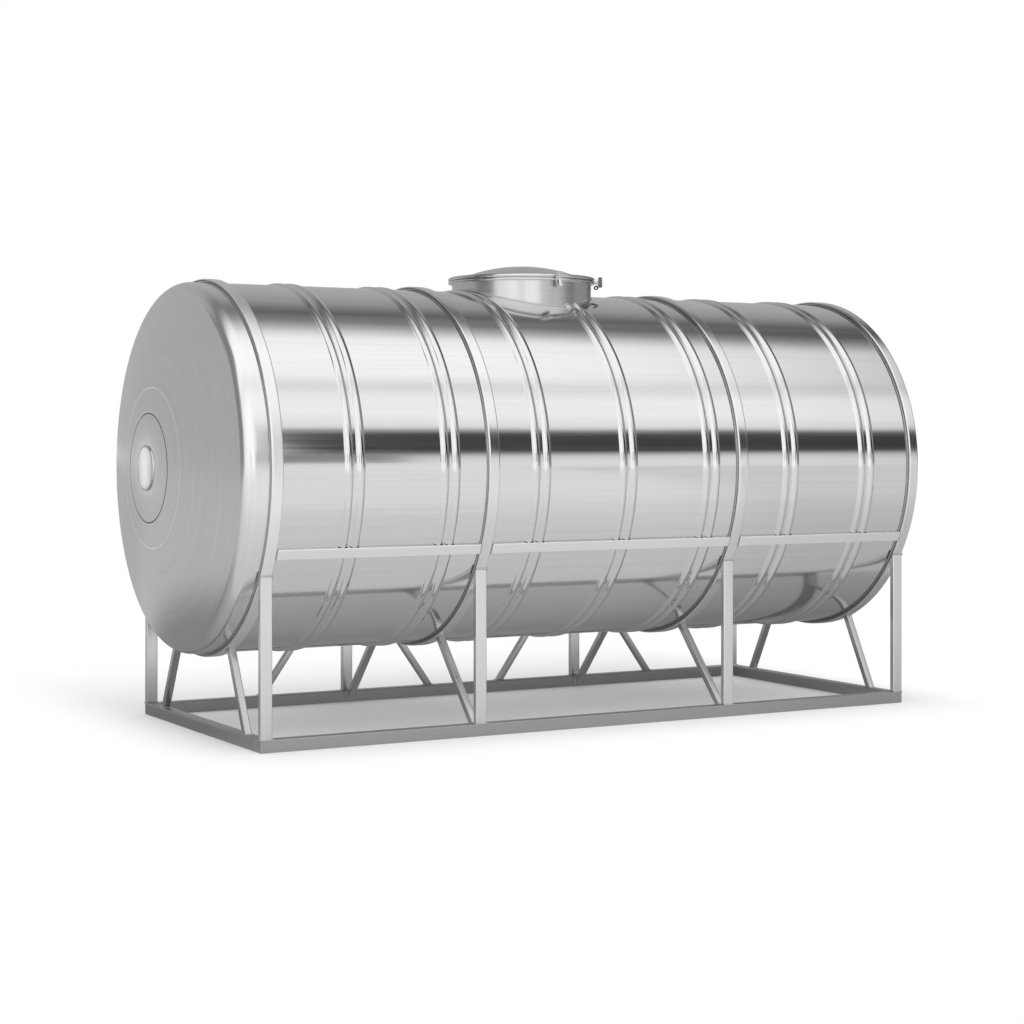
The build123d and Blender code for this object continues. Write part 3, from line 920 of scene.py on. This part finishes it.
class WATERTANK_OT_latch(bpy.types.Operator):
    """Builds the toggle latch on the front of the clamp ring, its parts as shares of the latch's box"""

    bl_idname = "water_tank.latch"
    bl_label = "Latch"

    def execute(self, context):
        low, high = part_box("clamp_latch")
        width, depth, height = high - low
        centre = (low.x + high.x) / 2
        back = high.y
        wire = depth * 0.13
        leg = width * 0.31
        axle_z = high.z - height * 0.08
        front = back - depth * 0.42
        half = width * 0.2
        foot = low.z + height * 0.14
        plate = box((centre - half, back - depth * 0.25, foot), (centre + half, back, axle_z))
        soften(plate, depth * 0.06)
        hooks = []
        for x in (centre - half, centre + half):
            reach = width * 0.07
            hook = box((x - reach, back - depth * 0.66, high.z - height * 0.17), (x + reach, back, high.z))
            soften(hook, depth * 0.08)
            hooks.append(hook)
        axle = rod((centre - leg, front, axle_z), (centre + leg, front, axle_z), wire)
        loop = bail(2 * leg, height * 0.86, wire)
        move(loop, (centre, front, axle_z))
        half = width * 0.13
        lever_length = height * 0.52
        lever = box((-half, -depth * 0.08, 0), (half, depth * 0.08, lever_length))
        soften(lever, depth * 0.05)
        tilt = Matrix.Rotation(-asin(depth * 0.5 / lever_length), 3, "X")
        move(lever, (centre, low.y + depth * 0.14, low.z + height * 0.08), tilt)
        pin_z = low.z + height * 0.5
        pin = rod((low.x + wire, front, pin_z), (high.x - wire, front, pin_z), depth * 0.16)
        bm = join(plate, *hooks, axle, loop, lever, pin)
        bright = "bright_rolled_stainless_clamp"
        make_piece(bm, "clamp_latch_toggle", bright, "clamp_latch", flat=True)
        return {"FINISHED"}


class WATERTANK_OT_knob(bpy.types.Operator):
    """Builds the lug, bolt and ribbed knob that close the clamp ring, as shares of the knob's radius"""

    bl_idname = "water_tank.knob"
    bl_label = "Knob"

    turn: angle("Turn", "Azimuth of the knob round the manway", -29)

    # Radius in the grooves between the ribs, and how many corners make up a rib and its groove
    groove_share = 0.93
    rib_corners = 4

    def execute(self, context):
        ring = LIP_RADIUS + context.scene.tank_sizes.ring_bulge
        radius = span("clamp_knob").z / 2
        lug_face = ring + radius * 0.7
        knob_length = radius * 0.7
        strap = radius * 0.16
        half = radius * 0.55
        head = Vector((ring - radius * 0.3, 0, radius * 0.45))
        fold = Vector((lug_face - strap, 0, -radius * 0.8))
        slope = box((0, -half, -strap / 2), ((fold - head).length, half, strap / 2))
        lean = atan2(head.z - fold.z, fold.x - head.x)
        move(slope, head, Matrix.Rotation(lean, 3, "Y"))
        soften(slope, strap * 0.2)
        upright = box((fold.x, -half, fold.z - strap / 2), (lug_face, half, radius * 0.6))
        soften(upright, strap * 0.2)
        bolt = rod((ring, 0, 0), (lug_face + knob_length * 1.04, 0, 0), radius * 0.22)
        lug = join(slope, upright, bolt)
        self.place(lug, "clamp_knob_lug", "bright_rolled_stainless_clamp", "clamp_knob")

        eye = arc((radius * 0.32, 0), radius * 0.15, 0, 360, 8)[:-1]
        eye = turned([Vector((x, 0, z)) for x, z in eye], (0, 0, 0), UP, 20)
        hang = (fold.x - radius * 0.3, 0, fold.z - radius * 0.25)
        move(eye, hang, Matrix.Rotation(radians(65), 3, "X"))
        knob = rod((lug_face, 0, 0), (lug_face + knob_length, 0, 0), radius, sides=36)
        for vert in knob.verts:
            if vert.index % self.rib_corners < self.rib_corners / 2:
                vert.co.y *= self.groove_share
                vert.co.z *= self.groove_share
        soften(knob, radius * 0.1, segments=2, sharpest=60)
        self.place(join(knob, eye), "clamp_knob_grip", "blackened_steel_grip")
        return {"FINISHED"}

    def place(self, bm, name, finish, stands_for=None):
        """Turns a mesh to the knob's azimuth at the manway's rim and makes it a piece."""
        move(bm, MANWAY_LINE + UP * RIM_HEIGHT, Matrix.Rotation(self.turn, 3, "Z"))
        make_piece(bm, name, finish, stands_for, flat=True)


class WATERTANK_OT_neck_weld(bpy.types.Operator):
    """Runs the weld round the foot of the neck, over the beads that it crosses"""

    bl_idname = "water_tank.neck_weld"
    bl_label = "Neck weld"

    def execute(self, context):
        sizes = context.scene.tank_sizes
        neck = LIP_RADIUS - sizes.lip_width
        bm = manway_round(arc((neck, AXIS_HEIGHT), sizes.neck_weld_radius, 0, 360, 10)[:-1])
        for vert in bm.verts:
            flat = (vert.co - MANWAY_LINE).xy.normalized() * neck
            vert.co.z += sheet_height(sizes, MANWAY_X + flat.x, flat.y) - AXIS_HEIGHT
        make_piece(bm, "manway_neck_weld", "cleaned_stainless_weld")
        return {"FINISHED"}


class WATERTANK_OT_studio(bpy.types.Operator):
    """Sets the floor, the light tent, the white world and the camera"""

    bl_idname = "water_tank.studio"
    bl_label = "Studio"

    # Brightness of the light tent by its angle in degrees, from the floor in front, over the top, to
    # the floor behind: front wall, dark flag, long softbox in two panels, dark gap overhead, rear wall
    panels = (
        (0.0, 0.97), (3.5, 0.96), (6.6, 0.8), (9.5, 0.06), (20.0, 0.06), (22.4, 0.2), (25.0, 1.0),
        (33.0, 1.16), (44.0, 1.16), (50.0, 0.98), (54.0, 0.98), (59.0, 1.22), (72.0, 1.26), (88.0, 1.18),
        (103.0, 0.3), (113.0, 0.15), (126.0, 0.38), (140.0, 0.46), (180.0, 0.47),
    )
    # How far right each panel reaches in metres before it darkens, by its angle in degrees, then over
    # what share of the tent's radius it darkens and to what share of its light
    reaches = (
        (0.0, 26.5), (48.0, 26.5), (58.0, 20.0), (84.0, 20.0), (97.0, 11.0), (104.0, 11.0), (116.0, 32.0),
    )
    tent_dusk = (0.7, 0.3)

    # Painted shadow of the tank on the floor as the steel mirrors it: brightness by its place in metres
    # behind the tank's axis
    mirrored_floor_painted_shadow = (
        (-6.0, 0.95), (-3.25, 0.93), (-1.39, 0.73), (-0.66, 0.65), (-0.6, 0.46), (0.1, 0.26), (6.0, 0.25),
    )
    # From and to where, outside the base, the painted shadow on the mirrored floor behind it turns lighter,
    # and both tones
    floor_round = (0.8, 2.1, 0.25, 0.54)
    # Direction in which the mirrored floor darkens as painted shade, from and to where in metres, and both
    # shares
    floor_slant = (1, 0.55, 0)
    floor_dusk = (0.3, 1.1, 1.0, 0.83)
    floor_drop = 0.001

    # Cards that only the steel mirrors: lowest and highest corner in metres, and brightness
    cards = {
        "grey_left_wall": ((-30.1, 10.0, 0.0), (-30.0, 60.0, 18.5), 0.47),
        "dim_left_wall": ((-30.1, -8.0, 0.0), (-30.0, 10.0, 18.5), 0.2),
        "dark_left_wall": ((-30.1, -8.0, 18.5), (-30.0, 60.0, 60.0), 0.22),
        "bright_left_card": ((-30.1, -23.5, 0.0), (-30.0, -8.0, 18.5), 1.1),
        "grey_right_wall": ((100.0, -40.0, 0.0), (100.1, 40.0, 40.0), 0.32),
        "bright_front_card": ((-64.0, -30.1, 0.0), (0.5, -30.0, 40.0), 1.25),
        "front_gap": ((-20.5, -29.9, 2.6), (-13.5, -29.8, 5.4), 0.42),
        "grey_front_card": ((0.5, -29.9, 2.6), (13.5, -29.8, 5.4), 0.3),
        "high_front_card": ((-3.0, -29.7, 5.5), (10.9, -29.6, 13.6), 1.05),
        "small_bright_card": ((-9.35, 18.9, 0.02), (-7.5, 19.0, 1.58), 1.4),
    }

    def execute(self, context):
        scene = context.scene
        studio = scene.tank_studio
        scene.view_settings.view_transform = "Standard"
        self.world(scene)
        self.floor(studio, scene.tank_finishes)
        self.tent(studio)
        for name, (low, high, light) in self.cards.items():
            self.card(name, low, high, light)
        self.camera(scene, studio)
        return {"FINISHED"}

    def world(self, scene):
        """Plain white world at strength 1."""
        scene.world = bpy.data.worlds.new("white_studio")
        scene.world.use_nodes = True
        tree = scene.world.node_tree
        tree.nodes.clear()
        white = node(tree, "Background", {"Color": (1, 1, 1, 1), "Strength": 1.0})
        node(tree, "OutputWorld", {"Surface": white})

    def stage_piece(self, bm, name, material):
        """Object of the studio, which isn't part of the tank."""
        piece = new_object(bm, name)
        piece.data.materials.append(material)
        return piece

    def floor(self, studio, finishes):
        """Matt white paper that runs into the backdrop: white of its own past the paper's edge; what the
        steel mirrors of it is a painted shadow.
        """
        material, tree = start_material("matt_white_paper")
        place = node(tree, "TexCoord").outputs["Object"]
        low = Vector((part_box("base_rail_left")[0].x, BASE_FRONT, 0))
        high = Vector((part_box("base_rail_right")[1].x, -BASE_FRONT, 0))
        shadow = low + Vector((studio.shadow_end, studio.shadow_front, 0))
        before = (studio.paper_end, studio.paper_front, 1)
        behind = (studio.paper_end, studio.paper_rear, 1)
        fade = self.past(tree, place, shadow, high, before, behind)
        fade = node(tree, "MapRange", {0: fade, 3: studio.shadow_lift}, interpolation_type="SMOOTHSTEP")
        paper = node(tree, "BsdfDiffuse", {"Color": (*finishes.floor, 1.0)})
        white = node(tree, "Emission", {"Color": (1, 1, 1, 1), "Strength": 1.0})
        seen = node(tree, "MixShader", {0: fade, 1: paper, 2: white})
        across = node(tree, "SeparateXYZ", {"Vector": place}).outputs["Y"]
        first, last = self.mirrored_floor_painted_shadow[0][0], self.mirrored_floor_painted_shadow[-1][0]
        share = node(tree, "MapRange", {0: across, 1: first, 2: last})
        stops = [((y - first) / (last - first), value) for y, value in self.mirrored_floor_painted_shadow]
        tone = node(tree, "ValToRGB", {0: share})
        self.set_greys(tone, stops)
        far = self.past(tree, place, low, high, (1, 1, 1), (1, 1, 1))
        start, stop, dark, light = self.floor_round
        beyond = node(
            tree, "MapRange", {0: far, 1: start, 2: stop, 3: dark, 4: light}, interpolation_type="SMOOTHSTEP"
        )
        tone = node(tree, "VectorMath", {0: tone, 1: beyond}, operation="MAXIMUM")
        slant = node(tree, "VectorMath", {0: place, 1: self.floor_slant}, operation="DOT_PRODUCT")
        start, stop, light, dark = self.floor_dusk
        dusk = node(tree, "MapRange", {0: slant.outputs["Value"], 1: start, 2: stop, 3: light, 4: dark})
        # The floor as the steel mirrors it: painted shadow and painted shade, the paper's own shading left
        # out
        painted_mirrored_floor = node(tree, "Emission", {"Color": tone, "Strength": dusk})
        mirrored = node(tree, "LightPath").outputs["Is Glossy Ray"]
        both = node(tree, "MixShader", {0: mirrored, 1: seen, 2: painted_mirrored_floor})
        node(tree, "OutputMaterial", {"Surface": both})
        bm = bmesh.new()
        bmesh.ops.create_grid(bm, x_segments=1, y_segments=1, size=studio.floor_size)
        move(bm, -UP * self.floor_drop)
        self.stage_piece(bm, "floor", material)

    def past(self, tree, place, low, high, reach_low, reach_high):
        """Distance outside a rectangle on the floor, in shares of a reach on each of its sides."""
        below = node(tree, "VectorMath", {0: low, 1: place}, operation="SUBTRACT")
        below = node(tree, "VectorMath", {0: below, 1: reach_low}, operation="DIVIDE")
        above = node(tree, "VectorMath", {0: place, 1: high}, operation="SUBTRACT")
        above = node(tree, "VectorMath", {0: above, 1: reach_high}, operation="DIVIDE")
        most = node(tree, "VectorMath", {0: below, 1: above}, operation="MAXIMUM")
        most = node(tree, "VectorMath", {0: most, 1: (0, 0, 0)}, operation="MAXIMUM")
        return node(tree, "VectorMath", {0: most}, operation="LENGTH").outputs["Value"]

    def set_greys(self, ramp, stops):
        """Gives a ramp its greys, each stop a place from 0 to 1 and a brightness up to 1."""
        elements = ramp.color_ramp.elements
        while len(elements) < len(stops):
            elements.new(0.5)
        for element, (place, value) in zip(elements, stops):
            element.position = place
            element.color = (value, value, value, 1)

    def only_mirrored(self, piece):
        """Leaves a panel to the reflections: it neither shows nor lights or shades the floor."""
        piece.visible_camera = False
        piece.visible_diffuse = False
        piece.visible_shadow = False
        piece.visible_transmission = False

    def tent(self, studio):
        """Half-round light tent along the tank, whose panels the polished steel mirrors."""
        material, tree = start_material("light_tent_cloth")
        radius = studio.tent_radius
        place = node(tree, "TexCoord").outputs["Object"]
        place = node(tree, "Mapping", {"Vector": place, "Location": -TANK_LINE})
        parts = node(tree, "SeparateXYZ", {"Vector": place}).outputs
        front = node(tree, "Math", {0: parts["Y"], 1: -1.0}, operation="MULTIPLY")
        turn = node(tree, "Math", {0: parts["Z"], 1: front}, operation="ARCTAN2")
        share = node(tree, "Math", {0: turn, 1: pi}, operation="DIVIDE")
        peak = max(value for _, value in self.panels)
        tone = node(tree, "ValToRGB", {0: share})
        self.set_greys(tone, [(degree / 180, value / peak) for degree, value in self.panels])
        reach = node(tree, "ValToRGB", {0: share})
        self.set_greys(reach, [(degree / 180, x / radius) for degree, x in self.reaches])
        reach = node(tree, "Math", {0: reach, 1: radius}, operation="MULTIPLY")
        right = node(tree, "Math", {0: parts["X"], 1: reach}, operation="SUBTRACT")
        run, left_over = self.tent_dusk
        dusk = node(
            tree, "MapRange", {0: right, 2: radius * run, 3: peak, 4: peak * left_over},
            interpolation_type="SMOOTHSTEP",
        )
        cloth = node(tree, "Emission", {"Color": tone, "Strength": dusk})
        node(tree, "OutputMaterial", {"Surface": cloth})
        bm = bmesh.new()
        half = studio.tent_half_length
        ends = [bm.verts.new((x, -radius, AXIS_HEIGHT)) for x in (-half, half)]
        edge = bm.edges.new(ends)
        bmesh.ops.spin(
            bm, geom=ends + [edge], cent=TANK_LINE, axis=(-1, 0, 0), dvec=(0, 0, 0), angle=pi, steps=64
        )
        self.only_mirrored(self.stage_piece(bm, "light_tent", material))

    def card(self, name, low, high, light):
        """Plain card that stands outside the picture."""
        material, tree = start_material(f"{name}_paper")
        paper = node(tree, "Emission", {"Color": (1, 1, 1, 1), "Strength": light})
        node(tree, "OutputMaterial", {"Surface": paper})
        self.only_mirrored(self.stage_piece(box(low, high), name, material))

    def camera(self, scene, studio):
        """Level camera at the photograph's place, its frame shifted so that the horizon keeps its row."""
        data = bpy.data.cameras.new("camera")
        data.lens = studio.lens
        data.shift_y = (studio.horizon_row - studio.picture_size / 2) / studio.picture_size
        data.clip_end = 2 * studio.floor_size
        camera = bpy.data.objects.new("camera", data)
        camera.location = studio.camera_place
        camera.rotation_euler = (radians(90), 0, -studio.camera_turn)
        scene.collection.objects.link(camera)
        scene.camera = camera


PIECES = (
    WATERTANK_OT_shell_courses,
    WATERTANK_OT_dished_ends,
    WATERTANK_OT_hoops,
    WATERTANK_OT_side_rails,
    WATERTANK_OT_base_rails,
    WATERTANK_OT_posts,
    WATERTANK_OT_struts,
    WATERTANK_OT_braces,
    WATERTANK_OT_manway,
    WATERTANK_OT_clamp_ring,
    WATERTANK_OT_latch,
    WATERTANK_OT_knob,
    WATERTANK_OT_neck_weld,
    WATERTANK_OT_studio,
)
SETTINGS = {"tank_sizes": TankSizes, "tank_finishes": TankFinishes, "tank_studio": TankStudio}


class WATERTANK_PT_panel(bpy.types.Panel):
    """Sidebar panel with the tank's pieces, sizes and finishes"""

    bl_label = "Water tank"
    bl_idname = "WATERTANK_PT_panel"
    bl_space_type = "VIEW_3D"
    bl_region_type = "UI"
    bl_category = "Tank"

    def draw(self, context):
        for piece in PIECES:
            self.layout.operator(piece.bl_idname)
        for name, group in SETTINGS.items():
            rows = self.layout.box()
            for setting in group.__annotations__:
                rows.prop(getattr(context.scene, name), setting)


def register():
    """Registers the settings, the operators and the panel."""
    for name, group in SETTINGS.items():
        bpy.utils.register_class(group)
        setattr(bpy.types.Scene, name, PointerProperty(type=group))
    for piece in PIECES:
        bpy.utils.register_class(piece)
    bpy.utils.register_class(WATERTANK_PT_panel)


def unregister():
    """Takes back what register did."""
    bpy.utils.unregister_class(WATERTANK_PT_panel)
    for piece in reversed(PIECES):
        bpy.utils.unregister_class(piece)
    for name, group in SETTINGS.items():
        delattr(bpy.types.Scene, name)
        bpy.utils.unregister_class(group)


def main():
    """Builds the tank and its studio."""
    register()
    for piece in PIECES:
        family, name = piece.bl_idname.split(".")
        getattr(getattr(bpy.ops, family), name)()


if __name__ == "__main__":
    main()
